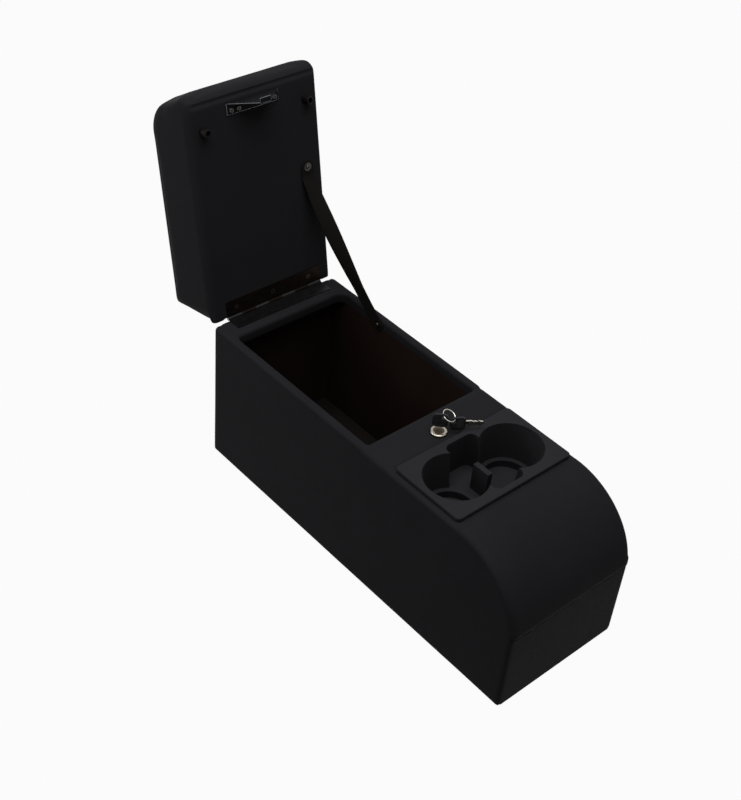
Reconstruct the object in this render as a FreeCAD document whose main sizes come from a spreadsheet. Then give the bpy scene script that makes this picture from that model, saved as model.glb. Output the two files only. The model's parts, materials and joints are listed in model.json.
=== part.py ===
import FreeCAD, Part
import math
import os
import Sketcher

# A vinyl-wrapped plywood console for a bench seat: a storage bin under a hinged padded lid, a key lock,
# a drop-in double cup holder and a rounded front.
# X runs across, Y from the rounded front (-) to the hinged rear (+), Z up, with 0 at the middle of the base.

os.makedirs("parts", exist_ok=True)
doc = FreeCAD.newDocument("center_console")
V = FreeCAD.Vector
X_AXIS = V(1, 0, 0)
Y_AXIS = V(0, 1, 0)
Z_AXIS = V(0, 0, 1)

# Driving sizes, in millimetres and degrees
sizes = {
    "body_length": 606, "body_width": 216, "deck_height": 228,
    "side_thickness": 12, "end_thickness": 12, "base_thickness": 9,
    "front_inset": 1, "rail_round": 5, "corner_round": 4,
    "cover_thickness": 9, "cover_round": 8, "cover_end_round": 6, "nose_radius": 115, "nose_proud": 3,
    "lip_bottom": 126, "lip_seat": 136,
    "rear_rail_depth": 35.5, "rear_rail_height": 18, "bin_length": 277.5,
    "bin_wall_thickness": 12, "cam_window_width": 62, "cam_window_height": 16, "cam_window_below": 8.7,
    "cam_window_margin": 10,
    "insert_setback": 116, "insert_margin": 6.5, "insert_length": 116, "flange_thickness": 4.5,
    "flange_corner": 6, "insert_wall": 2, "insert_gap": 1,
    "cup_radius": 43.5, "cup_gap": 0.5, "cup_base_radius": 37.5, "ledge_depth": 55,
    "recess_radius": 31, "cup_depth": 66, "slot_width": 52, "slot_length": 99,
    "slot_corner": 10, "web_thickness": 8, "web_length": 27, "web_drop": 14, "rim_round": 1.5,
    "hinge_setback": 3.2, "hinge_lift": 1.2, "hinge_length": 168, "hinge_knuckles": 7,
    "knuckle_radius": 2.6, "pin_radius": 1.25, "pin_gap": 0.05, "leaf_thickness": 1, "leaf_width": 25,
    "knuckle_gap": 0.3, "knuckle_relief": 0.6, "hinge_screw_pitch": 65, "hinge_screw_x": -2,
    "hinge_screw_inset": 14,
    "countersink_radius": 3.4, "countersink_depth": 0.9, "screw_radius": 1.6, "screw_length": 10,
    "screw_gap": 0.05,
    "lid_open_angle": 101, "lid_side_gap": 1.5, "lid_overhang": 2, "lid_board_thickness": 12,
    "lid_thickness": 102, "lid_board_round": 9, "cushion_wrap": 2, "wrap_thickness": 3,
    "lid_nose_reach": 13.5, "lid_nose_height": 14.5, "lid_slope_run": 37, "lid_top_round": 56,
    "lid_nose_round": 18, "lid_rear_round": 6, "lid_side_round": 8,
    "lock_x": -6, "lock_setback": 37.5, "bezel_radius": 11.5, "bezel_height": 3, "bezel_round": 1.8,
    "lock_radius": 9.4, "lock_length": 22, "lock_hole_gap": 0.2, "nut_width": 24, "nut_thickness": 4,
    "plug_radius": 6, "plug_gap": 0.06, "plug_head_radius": 7.6, "plug_head_height": 1.5, "plug_sink": 0.1,
    "boss_width": 7, "face_gap": 0.3, "cam_thickness": 2, "cam_width": 14,
    "cam_length": 46.5, "cam_angle": 180,
    "cam_tip_width": 8, "cam_screw_radius": 2, "cam_screw_head_radius": 5, "cam_screw_head_height": 2.4,
    "cam_screw_length": 5, "cam_screw_spare": 1,
    "keyway_width": 2.4, "keyway_height": 8.4, "keyway_depth": 20,
    "blade_thickness": 2, "blade_height": 8, "blade_inserted": 18, "blade_shown": 7, "blade_tang": 8,
    "key_head_width": 21, "key_head_length": 21, "key_head_thickness": 2.8, "key_head_round": 6,
    "key_hole_radius": 3.4, "key_hole_side": 4.6, "key_hole_end": 4.7, "key_angle": -45,
    "spare_angle": -31.7, "spare_x": 9.6, "spare_y": -8.8, "spare_lift": 4.8,
    "ring_radius": 9.4, "ring_wire_radius": 0.7, "ring_lean": 12, "ring_shift": -0.6, "ring_drop": 0.6,
    "strike_inset": 13, "strike_width": 86, "strike_tip_width": 18, "strike_leg": 32,
    "strike_foot": 6, "strike_thickness": 2, "strike_base": 16, "strike_screw_inner": 24,
    "strike_screw_outer": 36, "pan_head_radius": 3.6, "pan_head_height": 2.2, "pan_head_round": 0.9,
    "bumper_left_inset": 18.5, "bumper_right_inset": 23.5, "bumper_inset": 40.2, "bumper_base_radius": 6.5,
    "bumper_tip_radius": 5.5, "bumper_height": 12, "bumper_bore_radius": 3.8, "bumper_floor": 4, "bumper_round": 1,
    "strap_width": 22, "strap_thickness": 1.6, "strap_lid_inset": 29.5, "strap_lid_reach": 181,
    "strap_wall_setback": 117, "strap_wall_drop": 11, "strap_end": 9, "strap_flat": 12, "strap_lid_pull": 16,
    "strap_wall_pull": 38, "strap_wall_angle": 34, "strap_twist_start": 0.14,
    "strap_twist_end": 0.76, "strap_gap": 0.1, "strap_round": 8, "washer_radius": 6, "washer_thickness": 1,
}
sheet = doc.addObject("Spreadsheet::Sheet", "Sizes")
for row, (name, number) in enumerate(sizes.items(), start=1):
    sheet.set(f"A{row}", name)
    sheet.set(f"B{row}", str(number))
    sheet.setAlias(f"B{row}", name)
doc.recompute()

# Places that several sub-parts share, worked out from the sizes
BACK = "(body_length / 2)"
SIDE = "(body_width / 2)"
INNER_SIDE = "(body_width / 2 - side_thickness)"
BIN_FRONT = "(body_length / 2 - rear_rail_depth - bin_length)"
NOSE_Y = "(nose_radius - nose_proud - body_length / 2)"
NOSE_Z = "(deck_height - nose_radius)"
UNDER_COVER = "(deck_height - cover_thickness)"
INNER_NOSE_RADIUS = "(nose_radius - cover_thickness)"
HINGE_Y = "(body_length / 2 + hinge_setback)"
HINGE_Z = "(deck_height + hinge_lift)"
PLUG_TOP = "(deck_height + bezel_height - plug_sink)"
LOCK_BOTTOM = "(deck_height - lock_length)"
CAM_TOP = "(deck_height - lock_length - face_gap)"
LOCK_Y = f"({BIN_FRONT} - lock_setback)"
INSERT_Y = f"({BIN_FRONT} - insert_setback)"
INSERT_WIDTH = "(body_width - insert_margin * 2)"
CUP_OFFSET = f"({INNER_SIDE} - cup_radius - insert_wall - cup_gap)"
LID_HALF = "(body_width / 2 - lid_side_gap)"
LID_FRONT = "(hinge_setback + rear_rail_depth + bin_length + lid_overhang)"
STRIKE_REACH = f"({LID_FRONT} - strike_inset)"
STRIKE_SCREW_Y = f"(-{STRIKE_REACH} + strike_thickness + (strike_base - strike_thickness) / 2)"
BUMPER_REACH = f"({LID_FRONT} - bumper_inset)"
BUMPER_LEFT = f"(bumper_left_inset - {LID_HALF})"
BUMPER_RIGHT = f"({LID_HALF} - bumper_right_inset)"
STRAP_LID_X = f"({LID_HALF} - strap_lid_inset)"

nodes = []


def bound(text):
    """The expression with each size's name pointed at the sheet."""
    words = []
    word = ""
    for letter in str(text) + " ":
        if letter.isalnum() or letter == "_":
            word += letter
            continue
        words.append(f"Sizes.{word}" if word in sizes else word)
        words.append(letter)
        word = ""
    return "".join(words).strip()


def size(text):
    """The number that an expression of sheet names comes to."""
    return float(sheet.evalExpression(bound(text)))


def bind(item, **values):
    """Ties the named properties to expressions of the sheet."""
    for name, text in values.items():
        item.setExpression(name, bound(text))


def place(item, x=0, y=0, z=0, axis=Z_AXIS, angle=0):
    """Stands the piece at a spot, turned about an axis, with the spot tied to the sheet."""
    item.Placement = FreeCAD.Placement(V(size(x), size(y), size(z)), FreeCAD.Rotation(axis, size(angle)))
    for part, text in (("Base.x", x), ("Base.y", y), ("Base.z", z)):
        item.setExpression(f"Placement.{part}", bound(text))
    if angle != 0:
        item.setExpression("Placement.Rotation.Angle", bound(angle))
    return item


def keep(item, name):
    """Marks a finished piece as a node."""
    item.Label = name
    nodes.append(item)
    return item


def keep_on_lid(item, name, x=0, y=0):
    """Keeps a piece of the lid. It is drawn with the lid closed and the hinge pin at 0, then swung open."""
    place(item, x, f"{HINGE_Y} + ({y}) * cos(lid_open_angle)", f"{HINGE_Z} - ({y}) * sin(lid_open_angle)",
          X_AXIS, "-lid_open_angle")
    return keep(item, name)


def sketch_on(body, plane):
    """An empty sketch on one of the body's own origin planes."""
    sketch = body.newObject("Sketcher::SketchObject", f"{body.Name}_sketch")
    sketch.AttachmentSupport = (next(item for item in body.Origin.OriginFeatures if item.Role == plane), "")
    sketch.MapMode = "FlatFace"
    return sketch


def add_constraint(sketch, kind, where, text):
    """A dimension of the sketch tied to the sheet."""
    index = sketch.addConstraint(Sketcher.Constraint(kind, *where, size(text)))
    sketch.setExpression(f"Constraints[{index}]", bound(text))


def outline(body, plane, corners, arcs=None):
    """A closed outline through the corners. A side that starts at a corner named in arcs is curved with that
    radius, and bends left as it runs on."""
    arcs = arcs or {}
    sketch = sketch_on(body, plane)
    points = [V(size(x), size(y), 0) for x, y in corners]
    starts = []
    ends = []
    for index, start in enumerate(points):
        end = points[(index + 1) % len(points)]
        if index not in arcs:
            sketch.addGeometry(Part.LineSegment(start, end), False)
            starts.append(1)
            ends.append(2)
            continue
        text, turn = arcs[index]
        radius = size(text)
        half = (end - start) / 2
        rise = math.sqrt(max(radius * radius - half.Length * half.Length, 0))
        across = V(-half.y, half.x, 0).normalize() * rise
        centre = start + half + across * (1 if turn == "left" else -1)
        first, last = (start, end) if turn == "left" else (end, start)
        angles = [math.atan2(spot.y - centre.y, spot.x - centre.x) for spot in (first, last)]
        sketch.addGeometry(Part.ArcOfCircle(Part.Circle(centre, Z_AXIS, radius), *angles), False)
        starts.append(1 if turn == "left" else 2)
        ends.append(2 if turn == "left" else 1)
    for index, (x, y) in enumerate(corners):
        before = index - 1 if index else len(corners) - 1
        sketch.addConstraint(Sketcher.Constraint("Coincident", before, ends[before], index, starts[index]))
        add_constraint(sketch, "DistanceX", (-1, 1, index, starts[index]), x)
        add_constraint(sketch, "DistanceY", (-1, 1, index, starts[index]), y)
    for index, (text, turn) in arcs.items():
        add_constraint(sketch, "Radius", (index,), text)
    return sketch


def rectangle(x0, y0, x1, y1):
    """The corners of an upright rectangle."""
    return [(x0, y0), (x1, y0), (x1, y1), (x0, y1)]


def circle(body, plane, x, y, radius):
    """A sketch of one circle."""
    sketch = sketch_on(body, plane)
    sketch.addGeometry(Part.Circle(V(size(x), size(y), 0), Z_AXIS, size(radius)), False)
    add_constraint(sketch, "DistanceX", (-1, 1, 0, 3), x)
    add_constraint(sketch, "DistanceY", (-1, 1, 0, 3), y)
    add_constraint(sketch, "Radius", (0,), radius)
    return sketch


def lift(sketch, height):
    """Moves a sketch off its plane, along the plane's normal."""
    sketch.setExpression("AttachmentOffset.Base.z", bound(height))
    return sketch


def pad(body, sketch, length, both=False, back=False):
    """Adds the outline's extrusion."""
    feature = body.newObject("PartDesign::Pad", f"{body.Name}_pad")
    feature.Profile = sketch
    feature.Midplane = both
    feature.Reversed = back
    bind(feature, Length=length)
    doc.recompute()
    return feature


def pocket(body, sketch, length, both=False, back=False):
    """Cuts the outline's extrusion away, and stops if that removes nothing."""
    before = body.Shape.Volume
    feature = body.newObject("PartDesign::Pocket", f"{body.Name}_pocket")
    feature.Profile = sketch
    feature.Midplane = both
    feature.Reversed = back
    bind(feature, Length=length)
    doc.recompute()
    if body.Shape.Volume > before - 0.01:
        raise RuntimeError(f"a pocket of {body.Name} cuts nothing")
    return feature


def turned(name, corners, arcs=None):
    """A body turned about the Z axis from its half outline."""
    body = doc.addObject("PartDesign::Body", name)
    sketch = outline(body, "XZ_Plane", corners, arcs)
    feature = body.newObject("PartDesign::Revolution", f"{name}_turn")
    feature.Profile = sketch
    feature.ReferenceAxis = (sketch, ["V_Axis"])
    feature.Angle = 360
    doc.recompute()
    return body


def slab(name, plane, corners, length, both=False, arcs=None, back=False):
    """A body made by extruding one outline."""
    body = doc.addObject("PartDesign::Body", name)
    pad(body, outline(body, plane, corners, arcs), length, both, back)
    return body


def box(name, low, high):
    """A body filling the space between two corners."""
    body = doc.addObject("PartDesign::Body", name)
    add_block(body, low, high)
    return body


def add_block(body, low, high):
    """Adds an upright block to the body."""
    base = outline(body, "XY_Plane", rectangle(low[0], low[1], high[0], high[1]))
    pad(body, lift(base, low[2]), f"({high[2]}) - ({low[2]})")


def keeps(edge, **where):
    """Whether a whole edge lies where the named coordinates say."""
    middle = (edge.FirstParameter + edge.LastParameter) / 2
    spots = [edge.valueAt(value) for value in (edge.FirstParameter, middle, edge.LastParameter)]
    return all(abs(getattr(spot, name) - value) < 0.01 for spot in spots for name, value in where.items())


def round_edges(body, radius, chosen):
    """Rounds the edges of the body that the test picks."""
    last = body.Tip
    names = [f"Edge{index}" for index, edge in enumerate(last.Shape.Edges, start=1) if chosen(edge)]
    if not names:
        raise RuntimeError(f"no edge of {body.Name} is rounded")
    fillet = body.newObject("PartDesign::Fillet", f"{body.Name}_round")
    fillet.Base = (last, names)
    bind(fillet, Radius=radius)
    doc.recompute()


def cut(name, base, tool):
    """The base with the tool's shape taken out."""
    result = doc.addObject("Part::Cut", name)
    result.Base = base
    result.Tool = tool
    doc.recompute()
    return result


def fuse(name, *pieces):
    """Several shapes as one."""
    result = doc.addObject("Part::MultiFuse", name)
    result.Shapes = list(pieces)
    doc.recompute()
    return result


def fixed(name, shape):
    """A piece whose shape is computed here, for groups of copies and swept bands."""
    item = doc.addObject("Part::Feature", name)
    item.Shape = shape
    return item


def cylinder(radius, height, spot, axis=Z_AXIS):
    """A plain cylinder from the spot along the axis."""
    return Part.makeCylinder(radius, height, spot, axis)


def at_each(shape, spots):
    """One compound of copies of a shape, moved to each spot."""
    return Part.makeCompound([shape.translated(spot) for spot in spots])


# Side panels: each is one board wrapped in vinyl, its top stepped down and curved to carry the padded cover
side_outline = [
    (BACK, 0), (BACK, "deck_height"), (BIN_FRONT, "deck_height"), (BIN_FRONT, UNDER_COVER),
    (NOSE_Y, UNDER_COVER),
    (f"{NOSE_Y} - sqrt({INNER_NOSE_RADIUS} * {INNER_NOSE_RADIUS} - (lip_seat - {NOSE_Z}) * (lip_seat - {NOSE_Z}))",
     "lip_seat"),
    (f"-{BACK}", "lip_seat"), (f"-{BACK}", 0),
]
panels = {}
for name, left, outer in (("left_side_panel", f"-{SIDE}", 0), ("right_side_panel", INNER_SIDE, "side_thickness")):
    panel = slab(f"{name}_board", "YZ_Plane", side_outline, "side_thickness", arcs={4: (INNER_NOSE_RADIUS, "left")})
    top = size("deck_height")
    front = size(f"-{BACK}")
    back = size(BACK)
    outer_x = size(outer)
    round_edges(panel, "rail_round", lambda edge: keeps(edge, z=top) and edge.Length > 20)
    round_edges(panel, "corner_round", lambda edge: keeps(edge, x=outer_x, y=front) or keeps(edge, x=outer_x, y=back))
    place(panel, left)
    panels[name] = panel
keep(panels["left_side_panel"], "left_side_panel")

# Front cover: a padded board bent over the nose, ending in a lip that hangs in front of the lower panel
lip_y = f"({NOSE_Y} - sqrt(nose_radius * nose_radius - (lip_bottom - {NOSE_Z}) * (lip_bottom - {NOSE_Z})))"
cover = slab(
    "front_cover_board", "YZ_Plane",
    [(BIN_FRONT, "lip_bottom"), (BIN_FRONT, "deck_height"), (NOSE_Y, "deck_height"), (lip_y, "lip_bottom")],
    "body_width", both=True, arcs={2: ("nose_radius", "left")})
side_x = size(SIDE)
round_edges(cover, "cover_round", lambda edge: (
    abs(edge.CenterOfMass.x) > side_x - 0.01 and edge.CenterOfMass.z > size("lip_bottom") + 1
    and not keeps(edge, y=size(BIN_FRONT))))
round_edges(cover, "cover_end_round", lambda edge: keeps(edge, y=size(BIN_FRONT), z=size("deck_height")))
seat_y = side_outline[5][0]
pocket(cover, outline(
    cover, "YZ_Plane",
    [(f"{BIN_FRONT} + cover_round", "lip_bottom - 1"), (f"{BIN_FRONT} + cover_round", UNDER_COVER),
     (NOSE_Y, UNDER_COVER), (seat_y, "lip_seat"), (f"-{BACK}", "lip_seat"), (f"-{BACK}", "lip_bottom - 1")],
    {2: (INNER_NOSE_RADIUS, "left")}), "body_width + 10", both=True)
lock_spot = ("lock_x", LOCK_Y)
hole = circle(cover, "XY_Plane", *lock_spot, "lock_radius + lock_hole_gap")
pocket(cover, lift(hole, UNDER_COVER), "cup_depth * 3", both=True)
cut_radius = "(cup_radius + insert_wall + insert_gap)"
for side in (-1, 1):
    hole = circle(cover, "XY_Plane", f"{side} * {CUP_OFFSET}", INSERT_Y, cut_radius)
    pocket(cover, lift(hole, UNDER_COVER), "cup_depth * 3", both=True)
half_slot = "(slot_width / 2 + insert_wall + insert_gap)"
slot_reach = "(slot_length / 2 + insert_wall + insert_gap)"
hole = outline(cover, "XY_Plane", rectangle(
    f"-{half_slot}", f"{INSERT_Y} - {slot_reach}", half_slot, f"{INSERT_Y} + {slot_reach}"))
pocket(cover, lift(hole, UNDER_COVER), "cup_depth * 3", both=True)
keep(cover, "front_cover")

# Plain boards between the side panels
front_face = f"(front_inset - {BACK})"
keep(box("lower_front_panel", (f"-{INNER_SIDE}", front_face, 0),
         (INNER_SIDE, f"{front_face} + end_thickness", "lip_seat")), "lower_front_panel")
keep(box("rear_panel", (f"-{INNER_SIDE}", f"{BACK} - end_thickness", 0),
         (INNER_SIDE, BACK, "deck_height - rear_rail_height")), "rear_panel")
keep(box("base_panel", (f"-{INNER_SIDE}", f"{front_face} + end_thickness", 0),
         (INNER_SIDE, f"{BACK} - end_thickness", "base_thickness")), "base_panel")
rail = box("rear_rail_board", (f"-{INNER_SIDE}", f"{BACK} - rear_rail_depth", "deck_height - rear_rail_height"),
           (INNER_SIDE, BACK, "deck_height"))
round_edges(rail, "rail_round", lambda edge: keeps(
    edge, y=size(f"{BACK} - rear_rail_depth"), z=size("deck_height")))
bin_wall = box("bin_front_wall", (f"-{INNER_SIDE}", f"{BIN_FRONT} - bin_wall_thickness", "base_thickness"),
               (INNER_SIDE, BIN_FRONT, UNDER_COVER))
window = outline(bin_wall, "XZ_Plane", rectangle(
    "lock_x + cam_window_margin - cam_window_width", f"{CAM_TOP} - cam_window_below",
    "lock_x + cam_window_margin", f"{CAM_TOP} - cam_window_below + cam_window_height"))
pocket(bin_wall, window, "body_length", both=True)
keep(bin_wall, "bin_front_wall")

# Cup holder insert: one moulded tray with two stepped, tapered cups, handle slots and a web between them
insert = slab("insert_tray", "XY_Plane", rectangle(
    f"-{INSERT_WIDTH} / 2", "-insert_length / 2", f"{INSERT_WIDTH} / 2", "insert_length / 2"), "flange_thickness")
round_edges(insert, "flange_corner", lambda edge: edge.Length < size("flange_thickness") + 0.01)
round_edges(insert, "rim_round", lambda edge: keeps(edge, z=size("flange_thickness")))


def cup_shape(name, side, wall, floor):
    """A cup's taper down to its ledge and the recess under it, grown all round by the wall."""
    taper = doc.addObject("Part::Cone", f"{name}_taper")
    grow = f"(flange_thickness + {floor})"
    bind(taper, Radius1=f"cup_base_radius + {wall}", Radius2=f"cup_radius + {wall}",
         Height=f"ledge_depth + {wall} - {grow}")
    place(taper, f"{side} * {CUP_OFFSET}", 0, f"flange_thickness - ledge_depth - {wall}")
    recess = doc.addObject("Part::Cylinder", f"{name}_recess")
    bind(recess, Radius=f"recess_radius + {wall}", Height=f"cup_depth - ledge_depth + {wall}")
    place(recess, f"{side} * {CUP_OFFSET}", 0, f"flange_thickness - cup_depth - {wall}")
    return [taper, recess]


def slot_shape(name, wall, top):
    """The handle slots: one round-cornered block across the tray, as deep as the cups' ledges."""
    block = slab(name, "XY_Plane", rectangle(
        f"-slot_width / 2 - {wall}", f"-slot_length / 2 - {wall}",
        f"slot_width / 2 + {wall}", f"slot_length / 2 + {wall}"), f"{top} + ledge_depth + {wall} - flange_thickness")
    round_edges(block, f"slot_corner + {wall}", lambda edge: keeps(
        edge, x=edge.CenterOfMass.x, y=edge.CenterOfMass.y))
    return place(block, 0, 0, f"flange_thickness - ledge_depth - {wall}")


shell = [insert, slot_shape("slot_shell", "insert_wall", "flange_thickness / 2")]
space = [slot_shape("slot_space", 0, "flange_thickness + 1")]
for name, side in (("left", -1), ("right", 1)):
    shell += cup_shape(f"{name}_shell", side, "insert_wall", "-flange_thickness / 2")
    space += cup_shape(f"{name}_space", side, 0, "-flange_thickness")
tray = cut("tray_hollow", fuse("tray_shell", *shell), fuse("tray_space", *space))
web = doc.addObject("Part::Box", "tray_web")
bind(web, Length="web_thickness", Width="web_length", Height="ledge_depth - web_drop")
place(web, "-web_thickness / 2", "-web_length / 2", "flange_thickness - ledge_depth")
tray = fuse("cup_holder_insert", tray, web)
place(tray, 0, INSERT_Y, "deck_height")
keep(tray, "cup_holder_insert")


def countersunk_screw(gap=0):
    """A flat-headed screw hanging from z 0, or with a gap the hole that it sits in."""
    head = Part.makeCone(size("screw_radius") + gap, size("countersink_radius") + gap, size("countersink_depth"),
                         V(0, 0, -size("countersink_depth")))
    shank = cylinder(size("screw_radius") + gap, size("screw_length") + gap, V(0, 0, -size("screw_length") - gap))
    return head.fuse(shank).removeSplitter()


def pan_screw():
    """A round-headed screw whose head rests on z 0."""
    head = cylinder(size("pan_head_radius"), size("pan_head_height"), V(0, 0, 0))
    top = [edge for edge in head.Edges if keeps(edge, z=size("pan_head_height"))]
    shank = cylinder(size("screw_radius"), size("screw_length"), V(0, 0, -size("screw_length")))
    return head.makeFillet(size("pan_head_round"), top).fuse(shank).removeSplitter()


def screw_bore(depth):
    """The hole for a screw's shank, from z 0 down."""
    gap = size("screw_gap")
    return cylinder(size("screw_radius") + gap, depth + gap, V(0, 0, -depth - gap))


def from_below(shape):
    """The shape turned over, so that it points up."""
    return shape.rotated(V(0, 0, 0), X_AXIS, 180)


def bar(name, x, y, z, length, width, height):
    """A plain block tied to the sheet."""
    item = doc.addObject("Part::Box", name)
    bind(item, Length=length, Width=width, Height=height)
    return place(item, x, y, z)


def rod(name, radius, length, x):
    """A plain bar along X through the hinge axis."""
    item = doc.addObject("Part::Cylinder", name)
    bind(item, Radius=radius, Height=length)
    return place(item, x, 0, 0, Y_AXIS, 90)


# Hinge: two rolled leaves on one pin, drawn closed with the pin at 0
hinge_spots = [V(size(f"hinge_screw_x + {step} * hinge_screw_pitch"), -size("hinge_screw_inset"), 0)
               for step in (-1, 0, 1)]
body_screw_z = size("leaf_thickness - hinge_lift")
lid_screw_z = -body_screw_z


def hinge_leaf(name, own, low, screw_z, turn):
    """A leaf with every other knuckle, cut back around the knuckles of its mate."""
    plate = bar(f"{name}_plate", "-hinge_length / 2", "-leaf_width", low, "hinge_length", "leaf_width",
                "leaf_thickness")
    rolled = []
    reliefs = []
    for index in range(sizes["hinge_knuckles"]):
        start = f"hinge_length * ({index} / hinge_knuckles - 0.5)"
        width = "hinge_length / hinge_knuckles"
        if index % 2 == own:
            rolled.append(rod(f"{name}_knuckle", "knuckle_radius", f"{width} - knuckle_gap",
                              f"{start} + knuckle_gap / 2"))
        else:
            reliefs.append(bar(f"{name}_relief", f"{start} - knuckle_gap / 2", "-knuckle_radius - knuckle_relief",
                               f"{low} - leaf_thickness", f"{width} + knuckle_gap",
                               "knuckle_radius * 2 + knuckle_relief * 2", "leaf_thickness * 3"))
    leaf = fuse(f"{name}_rolled", cut(f"{name}_trimmed", plate, fuse(f"{name}_reliefs", *reliefs)), *rolled)
    bore = rod(f"{name}_bore", "pin_radius + pin_gap", "hinge_length + 2", "-hinge_length / 2 - 1")
    screw = countersunk_screw(size("screw_gap"))
    holes = at_each(turn(screw), [spot + V(0, 0, screw_z) for spot in hinge_spots])
    return cut(name, cut(f"{name}_bored", leaf, bore), fixed(f"{name}_holes", holes))


body_leaf = hinge_leaf("hinge_body_leaf", 0, "-hinge_lift", body_screw_z, lambda shape: shape)
keep(place(body_leaf, 0, HINGE_Y, HINGE_Z), "hinge_body_leaf")
lid_leaf = hinge_leaf("hinge_lid_leaf", 1, "hinge_lift - leaf_thickness", lid_screw_z, from_below)
keep_on_lid(lid_leaf, "hinge_lid_leaf")
pin = doc.addObject("Part::Cylinder", "hinge_pin")
bind(pin, Radius="pin_radius", Height="hinge_length")
keep(place(pin, "-hinge_length / 2", HINGE_Y, HINGE_Z, Y_AXIS, 90), "hinge_pin")
body_screws = fixed("hinge_body_screws", at_each(countersunk_screw(), [
    spot + V(0, 0, body_screw_z) for spot in hinge_spots]))
keep(place(body_screws, 0, HINGE_Y, HINGE_Z), "hinge_body_screws")
lid_screws = fixed("hinge_lid_screws", at_each(from_below(countersunk_screw()), [
    spot + V(0, 0, lid_screw_z) for spot in hinge_spots]))
keep_on_lid(lid_screws, "hinge_lid_screws")
rail_bores = fixed("rail_bores", at_each(screw_bore(size("screw_length")), [
    spot + V(0, 0, body_screw_z) for spot in hinge_spots]))
keep(cut("rear_rail", rail, place(rail_bores, 0, HINGE_Y, HINGE_Z)), "rear_rail")

# Lock: a housing held through the cover by a nut, a plug that turns in it and a cam on the plug's end
HEAD_BOTTOM = f"({PLUG_TOP} - plug_head_height)"
housing = turned("lock_housing", [
    ("plug_radius + plug_gap", LOCK_BOTTOM), ("lock_radius", LOCK_BOTTOM), ("lock_radius", "deck_height"),
    ("bezel_radius", "deck_height"), ("bezel_radius", "deck_height + bezel_height"),
    ("plug_head_radius + plug_gap", "deck_height + bezel_height"),
    ("plug_head_radius + plug_gap", f"{HEAD_BOTTOM} - face_gap"),
    ("plug_radius + plug_gap", f"{HEAD_BOTTOM} - face_gap")])
round_edges(housing, "bezel_round", lambda edge: keeps(edge, z=size("deck_height + bezel_height"))
            and edge.Length > size("bezel_radius") * 6)
keep(place(housing, *lock_spot), "lock_housing")
corner = "(nut_width / 2 / cos(30))"
nut = slab("lock_nut", "XY_Plane", [
    (f"{corner} * cos({turn * 60})", f"{corner} * sin({turn * 60})") for turn in range(6)], "nut_thickness")
pocket(nut, circle(nut, "XY_Plane", 0, 0, "lock_radius"), "nut_thickness * 3", both=True)
keep(place(nut, *lock_spot, f"{UNDER_COVER} - nut_thickness"), "lock_nut")
plug = turned("lock_plug", [
    (0, CAM_TOP), ("plug_radius", CAM_TOP), ("plug_radius", HEAD_BOTTOM), ("plug_head_radius", HEAD_BOTTOM),
    ("plug_head_radius", PLUG_TOP), (0, PLUG_TOP)])
boss = rectangle("-boss_width / 2", "-boss_width / 2", "boss_width / 2", "boss_width / 2")
pad(plug, lift(outline(plug, "XY_Plane", boss), f"{CAM_TOP} - cam_thickness"), "cam_thickness")
keyway = outline(plug, "XY_Plane", rectangle(
    "-keyway_height / 2", "-keyway_width / 2", "keyway_height / 2", "keyway_width / 2"))
pocket(plug, lift(keyway, PLUG_TOP), "keyway_depth")
tapped = circle(plug, "XY_Plane", 0, 0, "cam_screw_radius")
pocket(plug, lift(tapped, f"{CAM_TOP} - cam_thickness"), "cam_screw_length + cam_screw_spare", back=True)
keep(place(plug, *lock_spot, 0, Z_AXIS, "key_angle"), "lock_plug")
cam = slab("cam_plate", "XY_Plane", [
    (0, "-cam_width / 2"), ("cam_length", "-cam_tip_width / 2"), ("cam_length", "cam_tip_width / 2"),
    (0, "cam_width / 2"), ("-cam_width / 2", 0)], "cam_thickness",
    arcs={3: ("cam_width / 2", "left"), 4: ("cam_width / 2", "left")})
place(cam, *lock_spot, f"{CAM_TOP} - cam_thickness", Z_AXIS, "cam_angle")
cam_hole = slab("cam_hole", "XY_Plane", boss, "cam_thickness * 3", both=True)
place(cam_hole, *lock_spot, CAM_TOP, Z_AXIS, "key_angle")
keep(cut("lock_cam", cam, cam_hole), "lock_cam")
cam_screw = turned("cam_screw", [
    (0, f"{CAM_TOP} - cam_thickness - cam_screw_head_height"),
    ("cam_screw_head_radius", f"{CAM_TOP} - cam_thickness - cam_screw_head_height"),
    ("cam_screw_head_radius", f"{CAM_TOP} - cam_thickness"), ("cam_screw_radius", f"{CAM_TOP} - cam_thickness"),
    ("cam_screw_radius", f"{CAM_TOP} - cam_thickness + cam_screw_length"),
    (0, f"{CAM_TOP} - cam_thickness + cam_screw_length")])
keep(place(cam_screw, *lock_spot), "cam_screw")

# Keys: the one in the lock stands up, and the spare on the same ring stands on its edge on the cover
BLADE_REACH = "(blade_shown + blade_inserted)"
blade_edge = [(-1, "blade_tang"), (-1, f"-{BLADE_REACH} * 0.88"), (-0.2, f"-{BLADE_REACH}"),
              (0.55, f"-{BLADE_REACH} * 0.92"), (0.55, f"-{BLADE_REACH} * 0.8"), (0.9, f"-{BLADE_REACH} * 0.72"),
              (0.5, f"-{BLADE_REACH} * 0.62"), (0.85, f"-{BLADE_REACH} * 0.5"), (0.6, f"-{BLADE_REACH} * 0.42"),
              (1, f"-{BLADE_REACH} * 0.3"), (1, "blade_tang")]


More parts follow.
